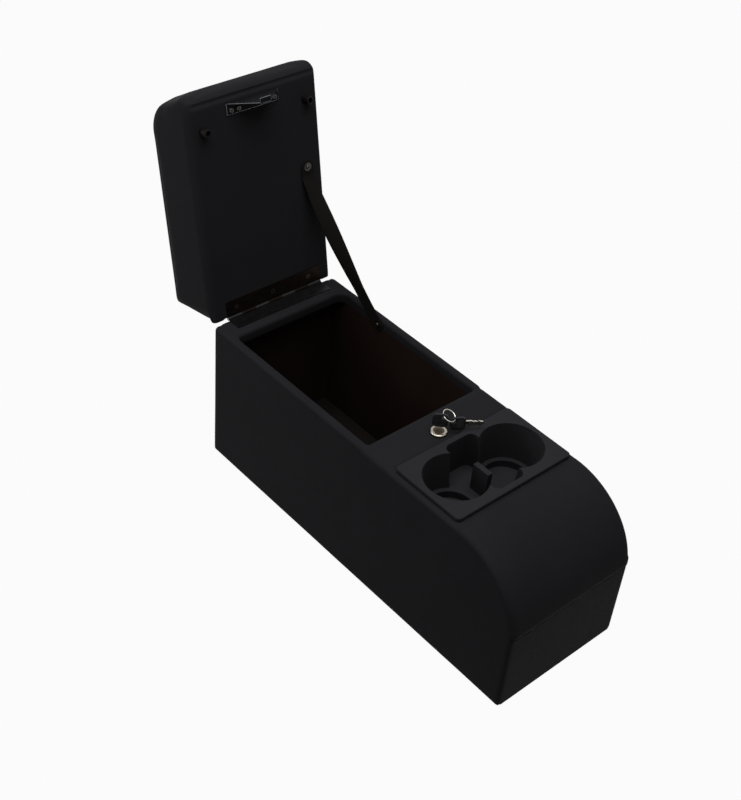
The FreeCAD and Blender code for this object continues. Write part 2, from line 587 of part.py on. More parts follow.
def key(name, lying, x, y, z, angle):
    """A key: a flat cut blade and the moulded head around its tang."""
    def spots(corners):
        """The corners as drawn, or turned so that the key lies along X with its hole side up."""
        return [(f"-({along})", across) for across, along in corners] if lying else corners

    blade = slab(f"{name}_steel", "XZ_Plane", spots([
        (f"blade_height / 2 * {across}", along) for across, along in blade_edge]), "blade_thickness", both=True)
    head = slab(f"{name}_moulding", "XZ_Plane", spots(rectangle(
        "-key_head_width / 2", 0, "key_head_width / 2", "key_head_length")), "key_head_thickness", both=True)
    round_edges(head, "key_head_round", lambda edge: edge.Length < size("key_head_thickness") + 0.01)
    ring_hole, = spots([("key_hole_side", "key_head_length - key_hole_end")])
    pocket(head, circle(head, "XZ_Plane", *ring_hole, "key_hole_radius"), "key_head_thickness * 3", both=True)
    for item in (blade, head):
        place(item, x, y, z, Z_AXIS, angle)
    keep(blade, f"{name}_blade")
    keep(cut(f"{name}_head", head, blade), f"{name}_head")
    turn = FreeCAD.Rotation(Z_AXIS, size(angle))
    return V(size(x), size(y), size(z)) + turn.multVec(V(size(ring_hole[0]), 0, size(ring_hole[1])))


first_hole = key("key", False, *lock_spot, f"{PLUG_TOP} + blade_shown", "key_angle")
second_hole = key(
    "spare_key", True, "lock_x + spare_x + key_head_length * cos(spare_angle)",
    f"{LOCK_Y} + spare_y + key_head_length * sin(spare_angle)", "deck_height + spare_lift + key_head_width / 2",
    "spare_angle")
chord = second_hole - first_hole
across = chord.cross(Z_AXIS).normalize()
lean = FreeCAD.Rotation(chord, size("ring_lean")).multVec(across * -1)
reach = math.sqrt(size("ring_radius") ** 2 - (chord.Length / 2) ** 2)
ring_axis = chord.cross(lean).normalize()
ring_centre = first_hole + chord / 2 + lean * (reach + size("ring_shift")) + ring_axis * size("ring_drop")
keep(fixed("key_ring", Part.makeTorus(size("ring_radius"), size("ring_wire_radius"), ring_centre, ring_axis)),
     "key_ring")

# Lid: a vinyl-wrapped board under a moulded cushion, drawn closed with the hinge pin at 0
lid_top = "(hinge_lift + lid_thickness)"
nose_y = f"(-{LID_FRONT} - lid_nose_reach)"
cushion = slab("lid_cushion", "YZ_Plane", [
    ("-hinge_setback", "hinge_lift + cushion_wrap"), ("-hinge_setback", lid_top),
    (f"{nose_y} + lid_slope_run", lid_top),
    (nose_y, "hinge_lift + lid_nose_height"), (f"-{LID_FRONT} - wrap_thickness", "hinge_lift + cushion_wrap")],
    f"{LID_HALF} * 2", both=True)
round_edges(cushion, "lid_top_round", lambda edge: keeps(
    edge, y=size(f"{nose_y} + lid_slope_run"), z=size(lid_top)))
round_edges(cushion, "lid_nose_round", lambda edge: keeps(
    edge, y=size(nose_y), z=size("hinge_lift + lid_nose_height")))
half_lid = size(LID_HALF)
round_edges(cushion, "lid_side_round", lambda edge: (
    abs(abs(edge.CenterOfMass.x) - half_lid) < 0.01 and edge.CenterOfMass.z > size("hinge_lift + cushion_wrap") + 0.1
    and not keeps(edge, y=size("-hinge_setback"))))
round_edges(cushion, "lid_rear_round", lambda edge: keeps(edge, y=size("-hinge_setback"))
            and edge.CenterOfMass.z > size(lid_top) / 2 and abs(edge.CenterOfMass.x) < half_lid - 0.1)
pocket(cushion, outline(cushion, "YZ_Plane", rectangle(
    f"-{LID_FRONT}", 0, "1 - hinge_setback", "hinge_lift + lid_board_thickness")), "body_width + 10", both=True)
keep_on_lid(cushion, "lid_cushion")
board = box("lid_plywood", (f"-{LID_HALF}", f"-{LID_FRONT}", "hinge_lift"),
            (LID_HALF, "-hinge_setback", "hinge_lift + lid_board_thickness"))
round_edges(board, "lid_board_round", lambda edge: keeps(edge, z=size("hinge_lift"))
            and not keeps(edge, y=size("-hinge_setback")))

# What is screwed to the lid's underside: the strike for the lock's cam, two stops and the check strap
strike = slab("strike_plate", "XZ_Plane", [
    ("lock_x - strike_width / 2", "hinge_lift"), ("lock_x - strike_tip_width / 2", "hinge_lift - strike_leg"),
    ("lock_x + strike_tip_width / 2", "hinge_lift - strike_leg"), ("lock_x + strike_width / 2", "hinge_lift")],
    "strike_thickness", back=True)
strike.Group[0].setExpression("AttachmentOffset.Base.z", bound(STRIKE_REACH))
add_block(strike, ("lock_x - strike_width / 2", f"-{STRIKE_REACH}", "hinge_lift - strike_thickness"),
          ("lock_x + strike_width / 2", f"strike_base - {STRIKE_REACH}", "hinge_lift"))
add_block(strike, ("lock_x - strike_tip_width / 2", f"-{STRIKE_REACH} - strike_foot", "hinge_lift - strike_leg"),
          ("lock_x + strike_tip_width / 2", f"strike_thickness - {STRIKE_REACH}",
           "hinge_lift - strike_leg + strike_thickness"))
under_lid = size("hinge_lift")
strike_spots = [V(size(f"lock_x + {side} * {inset}"), size(STRIKE_SCREW_Y), under_lid)
                for side in (-1, 1) for inset in ("strike_screw_inner", "strike_screw_outer")]
bumper_spots = [V(size(x), -size(BUMPER_REACH), under_lid) for x in (BUMPER_LEFT, BUMPER_RIGHT)]
strap_spot = V(size(STRAP_LID_X), -size("strap_lid_reach"), under_lid)
strike_drop = V(0, 0, -size("strike_thickness"))
bumper_drop = V(0, 0, -size("bumper_floor"))
strap_drop = V(0, 0, -size("strap_thickness + strap_gap * 2 + washer_thickness"))
upward_bore = from_below(screw_bore(size("screw_length")))
bore_spots = [spot + V(0, 0, lid_screw_z) for spot in hinge_spots] + [spot + strike_drop for spot in strike_spots]
bore_spots += [spot + bumper_drop for spot in bumper_spots] + [strap_spot + strap_drop]
keep_on_lid(cut("lid_board", board, fixed("lid_bores", at_each(upward_bore, bore_spots))), "lid_board")
strike_bores = fixed("strike_bores", at_each(upward_bore, [spot + strike_drop for spot in strike_spots]))
keep_on_lid(cut("strike_bracket", strike, strike_bores), "strike_bracket")
upward_screw = from_below(pan_screw())
keep_on_lid(fixed("strike_screws", at_each(upward_screw, [spot + strike_drop for spot in strike_spots])),
            "strike_screws")
keep_on_lid(fixed("bumper_screws", at_each(upward_screw, [spot + bumper_drop for spot in bumper_spots])),
            "bumper_screws")
for name, x in (("left_bumper", BUMPER_LEFT), ("right_bumper", BUMPER_RIGHT)):
    bumper = turned(name, [
        ("screw_radius + screw_gap", "hinge_lift"), ("screw_radius + screw_gap", "hinge_lift - bumper_floor"),
        ("bumper_bore_radius", "hinge_lift - bumper_floor"), ("bumper_bore_radius", "hinge_lift - bumper_height"),
        ("bumper_tip_radius", "hinge_lift - bumper_height"), ("bumper_base_radius", "hinge_lift")])
    round_edges(bumper, "bumper_round", lambda edge: keeps(edge, z=size("hinge_lift - bumper_height"))
                and edge.Length > size("bumper_bore_radius") * 7)
    keep_on_lid(bumper, name, x, f"-{BUMPER_REACH}")


def washer(spot):
    """A plain washer standing on a spot."""
    ring = cylinder(size("washer_radius"), size("washer_thickness"), spot)
    return ring.cut(cylinder(size("screw_radius + screw_gap"), size("washer_thickness") * 3,
                             spot - V(0, 0, size("washer_thickness"))))


keep_on_lid(fixed("strap_lid_washer", washer(strap_spot + strap_drop)), "strap_lid_washer")
keep_on_lid(fixed("strap_lid_screw", at_each(upward_screw, [strap_spot + strap_drop])), "strap_lid_screw")
wall_spot = V(size(INNER_SIDE), size(f"{BACK} - strap_wall_setback"), size("deck_height - strap_wall_drop"))
to_wall = FreeCAD.Placement(wall_spot + V(strap_drop.z, 0, 0), FreeCAD.Rotation(Y_AXIS, -90))
for name, shape in (("strap_wall_washer", washer(V(0, 0, -size("washer_thickness")))),
                    ("strap_wall_screw", pan_screw())):
    item = fixed(name, shape)
    item.Placement = to_wall
    keep(item, name)
wall_bore = fixed("wall_bore", screw_bore(size("screw_length")))
wall_bore.Placement = to_wall
keep(cut("right_side_panel_bored", panels["right_side_panel"], wall_bore), "right_side_panel")


def swung(spot):
    """Where a spot of the closed lid comes to with the lid open."""
    opened = FreeCAD.Rotation(X_AXIS, -size("lid_open_angle"))
    return V(0, size(HINGE_Y), size(HINGE_Z)) + opened.multVec(spot)


def strap_tab(end, along, across, length):
    """The strap's straight end, rounded at its tip, from the tip's middle along the strap."""
    width = size("strap_width")
    thickness = size("strap_thickness")
    tab = Part.makeBox(length, width, thickness, V(0, -width / 2, -thickness / 2))
    tips = [edge for edge in tab.Edges if keeps(edge, x=0) and edge.Length < thickness + 0.01]
    tab = tab.makeFillet(size("strap_round"), tips)
    hole = cylinder(size("screw_radius + screw_gap"), thickness * 3, V(size("strap_end"), 0, -thickness * 1.5))
    normal = along.cross(across)
    frame = FreeCAD.Matrix(along.x, across.x, normal.x, end.x, along.y, across.y, normal.y, end.y,
                           along.z, across.z, normal.z, end.z, 0, 0, 0, 1)
    return tab.cut(hole).transformGeometry(frame)


# Check strap: flat on the lid at one end and flat on the bin's side at the other, with a quarter turn between
middle = size("strap_gap + strap_thickness / 2")
lid_end = swung(strap_spot - V(0, 0, middle))
down_lid = swung(V(0, 1, 0)) - swung(V(0, 0, 0))
wall_end = wall_spot - V(middle, 0, 0)
fall = math.radians(size("strap_wall_angle"))
down_wall = V(0, -math.cos(fall), -math.sin(fall))
wall_across = V(0, down_wall.z, -down_wall.y)
flat = size("strap_flat")
lid_pull = flat + size("strap_lid_pull")
wall_pull = flat + size("strap_wall_pull")
course = Part.BezierCurve()
course.setPoles([lid_end + down_lid * flat, lid_end + down_lid * lid_pull,
                 wall_end - down_wall * wall_pull, wall_end - down_wall * flat])
sections = []
steps = 20
twist_start = size("strap_twist_start")
for step in range(steps + 1):
    spot = course.value(step / steps)
    along = V(*course.tangent(step / steps)[0]).normalize()
    share = (step / steps - twist_start) / (size("strap_twist_end") - twist_start)
    turn = math.pi / 2 * min(1, max(0, share))
    across = X_AXIS * math.cos(turn) + wall_across * math.sin(turn)
    across = (across - along * across.dot(along)).normalize()
    normal = along.cross(across)
    half_across = across * size("strap_width / 2")
    half_normal = normal * size("strap_thickness / 2")
    corners = [spot + half_across + half_normal, spot - half_across + half_normal,
               spot - half_across - half_normal, spot + half_across - half_normal]
    sections.append(Part.makePolygon(corners + corners[:1]))
band = Part.makeLoft(sections, True, True)
tabs = [strap_tab(lid_end - down_lid * size("strap_end"), down_lid, X_AXIS, flat + size("strap_end")),
        strap_tab(wall_end + down_wall * size("strap_end"), down_wall * -1, wall_across, flat + size("strap_end"))]
keep(fixed("lid_strap", band.fuse(tabs).removeSplitter()), "lid_strap")

# Every object is sound before any is written
doc.recompute()
for item in doc.Objects:
    if "Invalid" in item.State or "Error" in item.State:
        print("unsound", item.Name, item.State)
for item in nodes:
    shape = item.Shape
    if shape.isNull() or not shape.isValid() or not shape.Solids:
        print("bad shape", item.Label)
        continue
    print(item.Label, round(shape.Volume), len(shape.Solids), [round(v, 1) for v in (
        shape.BoundBox.XMin, shape.BoundBox.XMax, shape.BoundBox.YMin, shape.BoundBox.YMax,
        shape.BoundBox.ZMin, shape.BoundBox.ZMax)])
    shape.exportStep(f"parts/{item.Label}.step")
print("strap length", course.length() + 2 * flat)
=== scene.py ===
import bpy
import bmesh
import json
import math
from mathutils import Matrix, Vector, noise


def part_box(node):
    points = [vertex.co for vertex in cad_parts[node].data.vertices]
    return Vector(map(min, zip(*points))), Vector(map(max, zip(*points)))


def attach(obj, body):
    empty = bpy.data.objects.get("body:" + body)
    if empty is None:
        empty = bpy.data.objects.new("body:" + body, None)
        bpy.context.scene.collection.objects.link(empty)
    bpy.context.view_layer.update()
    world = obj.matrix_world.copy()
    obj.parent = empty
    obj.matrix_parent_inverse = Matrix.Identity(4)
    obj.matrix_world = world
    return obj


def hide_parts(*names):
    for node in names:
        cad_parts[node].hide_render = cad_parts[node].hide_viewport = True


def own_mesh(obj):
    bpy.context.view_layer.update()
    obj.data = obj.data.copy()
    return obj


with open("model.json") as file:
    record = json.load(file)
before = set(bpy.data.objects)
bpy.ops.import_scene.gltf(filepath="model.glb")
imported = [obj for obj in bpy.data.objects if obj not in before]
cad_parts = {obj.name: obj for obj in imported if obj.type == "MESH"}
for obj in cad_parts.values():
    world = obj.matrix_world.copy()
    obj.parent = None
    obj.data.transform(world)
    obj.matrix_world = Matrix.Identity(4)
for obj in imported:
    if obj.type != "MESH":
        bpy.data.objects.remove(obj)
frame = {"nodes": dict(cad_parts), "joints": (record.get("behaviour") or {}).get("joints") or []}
nodes = frame["nodes"]
joints = {joint["name"]: joint for joint in frame["joints"]}
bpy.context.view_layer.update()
scene = bpy.context.scene
print("frame loaded:", len(nodes), "nodes")


# colours are written as sRGB hex and turned to linear here
def linear(hexColour):
    channels = [int(hexColour[i:i + 2], 16) / 255 for i in (1, 3, 5)]
    return tuple(c / 12.92 if c <= 0.04045 else ((c + 0.055) / 1.055) ** 2.4 for c in channels) + (1.0,)


# adds one node, sets its options and sockets, and links the sockets whose value is another node's output
def addNode(tree, kind, sockets=None, **options):
    node = tree.nodes.new(kind)
    for name, value in options.items():
        setattr(node, name, value)
    for name, value in (sockets or {}).items():
        if isinstance(value, bpy.types.NodeSocket):
            tree.links.new(value, node.inputs[name])
        else:
            node.inputs[name].default_value = value
    return node


def newMaterial(name, **surface):
    material = bpy.data.materials.new(name)
    material.use_nodes = True
    tree = material.node_tree
    shader = tree.nodes["Principled BSDF"]
    for socket, value in surface.items():
        shader.inputs[socket.replace("_", " ")].default_value = value
    return material, tree, shader


def objectPoint(tree, scale=(1, 1, 1)):
    where = addNode(tree, "ShaderNodeTexCoord")
    return addNode(tree, "ShaderNodeMapping", {"Vector": where.outputs["Object"], "Scale": scale}).outputs[0]


# mixes two colours by a pattern and feeds the shader's base colour
def tintBy(tree, shader, factor, low, high):
    colours = {"Factor": factor, 6: linear(low), 7: linear(high)}  # 6 and 7 are the node's colour sockets
    tint = addNode(tree, "ShaderNodeMix", colours, data_type="RGBA")
    tree.links.new(tint.outputs[2], shader.inputs["Base Color"])


# lets a pattern move the roughness either side of its middle
def polishBy(tree, shader, factor, middle, spread):
    polish = addNode(tree, "ShaderNodeMapRange", {
        "Value": factor, "From Min": 0.3, "From Max": 0.7,  # most of a noise pattern lies between these
        "To Min": middle - spread, "To Max": middle + spread})
    tree.links.new(polish.outputs[0], shader.inputs["Roughness"])


# embossed upholstery vinyl: PVC on a cloth back, pressed hot with a pebble grain about 1.1 mm across, so it
# is satin, a little cloudy in tone, and the grain only shows where light grazes it
def makeVinyl(name, base, dark, roughness, gloss, pebble=0.0011, crease=0.004, cloud=0.09, height=0.00008):
    material, tree, shader = newMaterial(name, IOR=1.5, Specular_IOR_Level=gloss)
    point = objectPoint(tree)
    cells = addNode(tree, "ShaderNodeTexVoronoi", {"Vector": point, "Scale": 1 / pebble}, feature="SMOOTH_F1")
    creases = addNode(tree, "ShaderNodeTexNoise", {"Vector": point, "Scale": 1 / crease, "Detail": 4.0})
    clouds = addNode(tree, "ShaderNodeTexNoise", {"Vector": point, "Scale": 1 / cloud, "Detail": 3.0})
    tintBy(tree, shader, clouds.outputs["Fac"], dark, base)
    polishBy(tree, shader, creases.outputs["Fac"], roughness, 0.05)
    grain = addNode(tree, "ShaderNodeMath", {0: cells.outputs["Distance"], 1: creases.outputs["Fac"]},
                    operation="ADD")
    bump = addNode(tree, "ShaderNodeBump", {"Height": grain.outputs[0], "Distance": height, "Strength": 0.3})
    tree.links.new(bump.outputs[0], shader.inputs["Normal"])
    return material


# moulded plastic or rubber: the mould's spark-eroded face leaves a fine speckle that scatters the highlight
def makeMoulded(name, colour, dark, roughness, gloss, grain=0.0006, patch=0.05, height=0.00004):
    material, tree, shader = newMaterial(name, IOR=1.49, Specular_IOR_Level=gloss)
    point = objectPoint(tree)
    speckle = addNode(tree, "ShaderNodeTexNoise", {"Vector": point, "Scale": 1 / grain, "Detail": 3.0})
    patches = addNode(tree, "ShaderNodeTexNoise", {"Vector": point, "Scale": 1 / patch, "Detail": 2.0})
    tintBy(tree, shader, patches.outputs["Fac"], dark, colour)
    polishBy(tree, shader, patches.outputs["Fac"], roughness, 0.05)
    bump = addNode(tree, "ShaderNodeBump", {
        "Height": speckle.outputs["Fac"], "Distance": height, "Strength": 0.6})
    tree.links.new(bump.outputs[0], shader.inputs["Normal"])
    return material


# steel or brass, rolled or turned, bare or plated: fine lines, drawn out along X on rolled parts, and stains
def makePlated(name, colour, dull, roughness, lines=(1, 1, 1), grain=0.0008, stain=0.012, height=0.00002):
    material, tree, shader = newMaterial(name, Metallic=1.0)
    strokes = addNode(tree, "ShaderNodeTexNoise", {
        "Vector": objectPoint(tree, lines), "Scale": 1 / grain, "Detail": 3.0})
    stains = addNode(tree, "ShaderNodeTexNoise", {
        "Vector": objectPoint(tree), "Scale": 1 / stain, "Detail": 4.0})
    tintBy(tree, shader, stains.outputs["Fac"], dull, colour)
    polishBy(tree, shader, strokes.outputs["Fac"], roughness, roughness * 0.3)
    bump = addNode(tree, "ShaderNodeBump", {
        "Height": strokes.outputs["Fac"], "Distance": height, "Strength": 0.4})
    tree.links.new(bump.outputs[0], shader.inputs["Normal"])
    return material


# stained plywood: grain drawn out 8 mm by 0.7 mm along the panel under a thin black stain, nearly matt
def makeStainedPly(name, colour, dark, along=0.008, across=0.0007, height=0.0001):
    material, tree, shader = newMaterial(name, IOR=1.45, Specular_IOR_Level=0.12)
    fibre = addNode(tree, "ShaderNodeTexNoise", {
        "Vector": objectPoint(tree, (1 / across, 1 / along, 1 / across)), "Scale": 1.0, "Detail": 4.0})
    tintBy(tree, shader, fibre.outputs["Fac"], dark, colour)
    polishBy(tree, shader, fibre.outputs["Fac"], 0.8, 0.08)
    bump = addNode(tree, "ShaderNodeBump", {
        "Height": fibre.outputs["Fac"], "Distance": height, "Strength": 0.5})
    tree.links.new(bump.outputs[0], shader.inputs["Normal"])
    return material


# nylon webbing: ribs 1.2 mm apart across the band with the warp showing between them, woven dull black
def makeWebbing(name, colour, dark, ribPitch=0.0012, warpPitch=0.0018, height=0.0003):
    material, tree, shader = newMaterial(name, IOR=1.5, Roughness=0.75, Specular_IOR_Level=0.03)
    uv = addNode(tree, "ShaderNodeUVMap", uv_map="weave")
    unitWave = 0.314  # a Wave texture of scale 1 repeats at this distance
    ribs = addNode(tree, "ShaderNodeTexWave", {
        "Vector": uv.outputs[0], "Scale": unitWave / ribPitch, "Distortion": 0.4},
        wave_type="BANDS", bands_direction="Y")
    warp = addNode(tree, "ShaderNodeTexWave", {
        "Vector": uv.outputs[0], "Scale": unitWave / warpPitch, "Distortion": 0.2},
        wave_type="BANDS", bands_direction="X")
    weave = addNode(tree, "ShaderNodeMath", {0: ribs.outputs["Fac"], 1: warp.outputs["Fac"]},
                    operation="MULTIPLY")
    tintBy(tree, shader, weave.outputs[0], dark, colour)
    bump = addNode(tree, "ShaderNodeBump", {"Height": weave.outputs[0], "Distance": height, "Strength": 0.6})
    tree.links.new(bump.outputs[0], shader.inputs["Normal"])
    return material


bodyVinyl = makeVinyl("embossedVinyl", "#222224", "#1c1c1e", 0.58, 0.012)
# the bin's own lining, which also serves as painted shade along the seam under the nose's lip
liningAndSeamShade = makeVinyl("plainLining", "#251b18", "#1b1412", 0.85, 0.01, pebble=0.0016)
stainedPly = makeStainedPly("stainedPlywood", "#130e0c", "#0b0807")
moulded = makeMoulded("mouldedAbs", "#28282a", "#232325", 0.5, 0.02)
keyMoulding = makeMoulded("mouldedNylon", "#262628", "#1e1e20", 0.42, 0.12)
rubber = makeMoulded("blackRubber", "#100d0c", "#0a0808", 0.5, 0.08, grain=0.0012)
# both hinge leaves are one steel in two tones: the body leaf's lighter tone and the lid leaf's darker one are
# painted light and shade from how each leaf faces the light, while the lid leaf's brown tint is its own
bodyLeafSteelPaintedLighter = makePlated("blackenedSteel", "#2c2c2d", "#202021", 0.4, lines=(0.05, 1, 1))
lidLeafSteelPaintedDarker = makePlated("oxidisedSteel", "#1e1713", "#120e0b", 0.45, lines=(0.05, 1, 1))
screwSteel = makePlated("phosphatedSteel", "#4e4b48", "#2c2a28", 0.32)
pinSteel = makePlated("drawnSteel", "#a39f9a", "#7a756f", 0.3, lines=(0.05, 1, 1))
bracketCoat = makeMoulded("eCoatedSteel", "#131315", "#0e0e10", 0.5, 0.03)
bareEdgeAndHighlight = makePlated("shearedZincEdge", "#7d8084", "#56595d", 0.3)
chrome = makePlated("chromedBrass", "#b9b2a8", "#8c857b", 0.16)
# the plug face is a darker brass than the bezel
plugFace = makePlated("wornBrassPlug", "#5a5248", "#332e28", 0.3)
nickel = makePlated("nickeledSteel", "#d6d2c8", "#a9a59c", 0.22)
webbing = makeWebbing("nylonWebbing", "#1c1a18", "#121110")

# the CAD nodes that show in their own shape, by finish
finishes = {
    liningAndSeamShade: ["bin_front_wall"],
    stainedPly: ["base_panel"],
    moulded: ["cup_holder_insert"],
    bodyLeafSteelPaintedLighter: ["hinge_body_leaf"],
    lidLeafSteelPaintedDarker: ["hinge_lid_leaf"],
    pinSteel: ["hinge_pin"],
    screwSteel: ["strap_lid_washer", "strap_wall_washer", "lock_nut", "lock_cam", "cam_screw"],
    chrome: ["lock_housing"],
    plugFace: ["lock_plug"],
    nickel: ["key_blade", "spare_key_blade", "key_ring"],
    rubber: ["left_bumper", "right_bumper"],
}
for material, names in finishes.items():
    for name in names:
        nodes[name].data.materials.clear()
        nodes[name].data.materials.append(material)
print("CAD nodes finished:", sum(len(names) for names in finishes.values()))


def addPiece(name, mesh, materials, body, smooth=True):
    piece = bpy.data.objects.new(name, mesh)
    scene.collection.objects.link(piece)
    for material in materials:
        mesh.materials.append(material)
    for face in mesh.polygons:
        face.use_smooth = smooth
    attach(piece, body)
    return piece


# one mesh holding clean copies of several CAD nodes, each still closed
def joinNodes(names):
    work = bmesh.new()
    for name in names:
        work.from_mesh(nodes[name].data)
    bmesh.ops.remove_doubles(work, verts=work.verts, dist=0.00001)
    return work


def toMesh(work, name):
    mesh = bpy.data.meshes.new(name)
    work.to_mesh(mesh)
    work.free()
    return mesh


# an object's mesh as its modifiers leave it, with no modifier on it
def plainMesh(obj):
    mesh = bpy.data.meshes.new_from_object(obj.evaluated_get(bpy.context.evaluated_depsgraph_get()))
    bpy.data.objects.remove(obj)
    return mesh


# runs modifiers on a mesh and hands back the plain result
def modified(mesh, modifiers):
    work = bpy.data.objects.new(mesh.name + "Work", mesh)
    scene.collection.objects.link(work)
    for kind, settings in modifiers:
        modifier = work.modifiers.new(kind.lower(), kind)
        for setting, value in settings.items():
            setattr(modifier, setting, value)
    return plainMesh(work)


# drops the small closed shells that a remesh leaves inside walls that touched
def largestShell(mesh):
    work = bmesh.new()
    work.from_mesh(mesh)
    unseen = set(work.verts)
    shells = []
    while unseen:
        shell = [unseen.pop()]
        for vert in shell:
            for edge in vert.link_edges:
                other = edge.other_vert(vert)
                if other in unseen:
                    unseen.remove(other)
                    shell.append(other)
        shells.append(shell)
    shells.sort(key=len)
    for shell in shells[:-1]:
        bmesh.ops.delete(work, geom=shell, context="VERTS")
    work.to_mesh(mesh)
    work.free()
    return mesh


# joined nodes as one even skin
def remeshed(work, name, voxel, smoothings):
    return largestShell(modified(toMesh(work, name), [
        ("REMESH", {"mode": "VOXEL", "voxel_size": voxel}),
        ("SMOOTH", {"factor": 0.5, "iterations": smoothings})]))


# joins two rings of as many points by a band of faces
def addBand(work, one, other):
    for i in range(len(one)):
        j = (i + 1) % len(one)
        work.faces.new((one[i], one[j], other[j], other[i]))


# upright prism through the corners, for the parts of the wrap that the boards don't fill
def addPrism(work, corners, low, high):
    foot, top = [[work.verts.new((x, y, z)) for x, y in corners] for z in (low, high)]
    work.faces.new(foot[::-1])
    work.faces.new(top)
    addBand(work, foot, top)


def clamped(value):
    return min(1, max(0, value))


# goes from 0 to 1 with a soft start and a soft end
def eased(share):
    return share * share * (3 - 2 * share)


# body: one vinyl cover glued over the boards and their thin foam, with no seam where the photograph has none
bodyWrap = {
    "voxel": 0.0026, "smoothings": 3, "keptFaces": 0.62,
    "cornerRight": 0.016, "cornerLeft": 0.005,      # radii of the bin mouth's rear corners
    "cornerTop": 0.0006, "cornerFoot": 0.018,       # their depths below the deck
    "overlap": 0.002,                               # how far a filling prism runs into what it joins
    "lipLow": 0.126, "lipTop": 0.137, "lipHalf": 0.107, "lipFront": -0.3035, "lipBack": -0.295,
    "seamShadeFront": -0.3, "seamShadeDrop": 0.0014, "seamShadeHeight": 0.0052,    # the seam under the nose's lip, where a band of faces takes the dark lining as a painted shadow line
    "frontFace": -0.3027, "frontReach": -0.298, "frontHalf": 0.1035, "frontGap": 0.0004,
    "flangeDip": 0.0014, "flangeDipWidth": 0.007, "deckSkin": 0.003, "noseLength": 0.08,
    "leftFrom": -0.1, "leftPadding": 0.002, "rearFrom": 0.295, "rearPadding": 0.0018,
    "slack": 0.00022, "slackSpan": 0.07,
    "liningHalf": 0.0968, "liningFront": 0.013, "liningRear": 0.2922, "liningTop": 0.213}
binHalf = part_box("right_side_panel")[0].x
railLow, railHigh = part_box("rear_rail")
coverLow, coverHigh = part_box("front_cover")
flangeLow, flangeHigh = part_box("cup_holder_insert")
deck = railHigh.z


# the bin mouth's two rear corners are rounded, and the lip is filled down to its seam
def fillWrap(work):
    back = railLow.y
    overlap = bodyWrap["overlap"]
    for side, radius in ((1, bodyWrap["cornerRight"]), (-1, bodyWrap["cornerLeft"])):
        corners = [(side * (binHalf - radius + radius * math.cos(math.radians(angle))),
                    back - radius + radius * math.sin(math.radians(angle))) for angle in range(0, 91, 10)]
        corners += [(side * (binHalf - radius), back + overlap), (side * (binHalf + overlap), back + overlap),
                    (side * (binHalf + overlap), back - radius)]
        corners = corners[::side]  # the left corner is mirrored, so it is read backwards
        addPrism(work, corners, deck - bodyWrap["cornerFoot"], deck - bodyWrap["cornerTop"])
    half, front, rear = bodyWrap["lipHalf"], bodyWrap["lipFront"], bodyWrap["lipBack"]
    addPrism(work, [(-half, front), (half, front), (half, rear), (-half, rear)],
             bodyWrap["lipLow"] - overlap, bodyWrap["lipTop"])


def bodyMesh():
    work = joinNodes(["left_side_panel", "right_side_panel", "front_cover", "rear_panel", "rear_rail",
                      "lower_front_panel"])
    fillWrap(work)
    mesh = remeshed(work, "bodyWrapRaw", bodyWrap["voxel"], bodyWrap["smoothings"])
    middle = (flangeHigh.x + flangeLow.x) / 2
    normals = [v.normal.copy() for v in mesh.vertices]  # read first, because every move makes them stale
    for v, normal in zip(mesh.vertices, normals):
        x, y, z = v.co
        # the vinyl pulls down around the cup holder's flange
        if z > deck - bodyWrap["deckSkin"] and coverLow.y + bodyWrap["noseLength"] < y < coverHigh.y:
            outX = max(abs(x - middle) - (flangeHigh.x - middle), 0)
            outY = max(flangeLow.y - y, y - flangeHigh.y, 0)
            away = math.hypot(outX, outY) / bodyWrap["flangeDipWidth"]
            if away < 1:
                v.co.z -= bodyWrap["flangeDip"] * eased(1 - away)
        # below the nose's lip the front is one flat face
        belowLip = z < bodyWrap["lipLow"] - bodyWrap["frontGap"]
        if belowLip and y < bodyWrap["frontReach"] and abs(x) < bodyWrap["frontHalf"]:
            v.co.y = bodyWrap["frontFace"]
        # the left side and the rear carry thicker foam than the boards' drawn faces
        if x < bodyWrap["leftFrom"] and normal.x < 0:
            v.co.x += bodyWrap["leftPadding"] * normal.x
        if y > bodyWrap["rearFrom"] and normal.y > 0:
            v.co.y += bodyWrap["rearPadding"] * normal.y
        # slack of the cover over its foam, a fraction of a millimetre over a hand's width
        v.co += normal * (noise.noise(Vector((x, y, z)) / bodyWrap["slackSpan"]) * bodyWrap["slack"])
        v.co.z = max(v.co.z, 0)
    mesh = modified(mesh, [("DECIMATE", {"ratio": bodyWrap["keptFaces"]})])
    mesh.name = "bodyWrap"
    seam = bodyWrap["lipLow"] - bodyWrap["seamShadeDrop"]
    # faces inside the bin take the lining as their own material; faces in a band along the seam under the
    # nose's lip take it as a painted shadow line
    for face in mesh.polygons:
        x, y, z = face.center
        inside = (abs(x) < bodyWrap["liningHalf"] and z < bodyWrap["liningTop"]
                  and coverHigh.y - bodyWrap["liningFront"] < y < bodyWrap["liningRear"])
        inSeamShade = y < bodyWrap["seamShadeFront"] and abs(z - seam) < bodyWrap["seamShadeHeight"] / 2
        face.material_index = 1 if inside or inSeamShade else 0
    return mesh


bodyPiece = addPiece("bodyWrap", bodyMesh(), [bodyVinyl, liningAndSeamShade], "console")
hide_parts("left_side_panel", "right_side_panel", "front_cover", "rear_panel", "rear_rail",
            "lower_front_panel")
print("body wrap made:", len(bodyPiece.data.polygons), "faces")

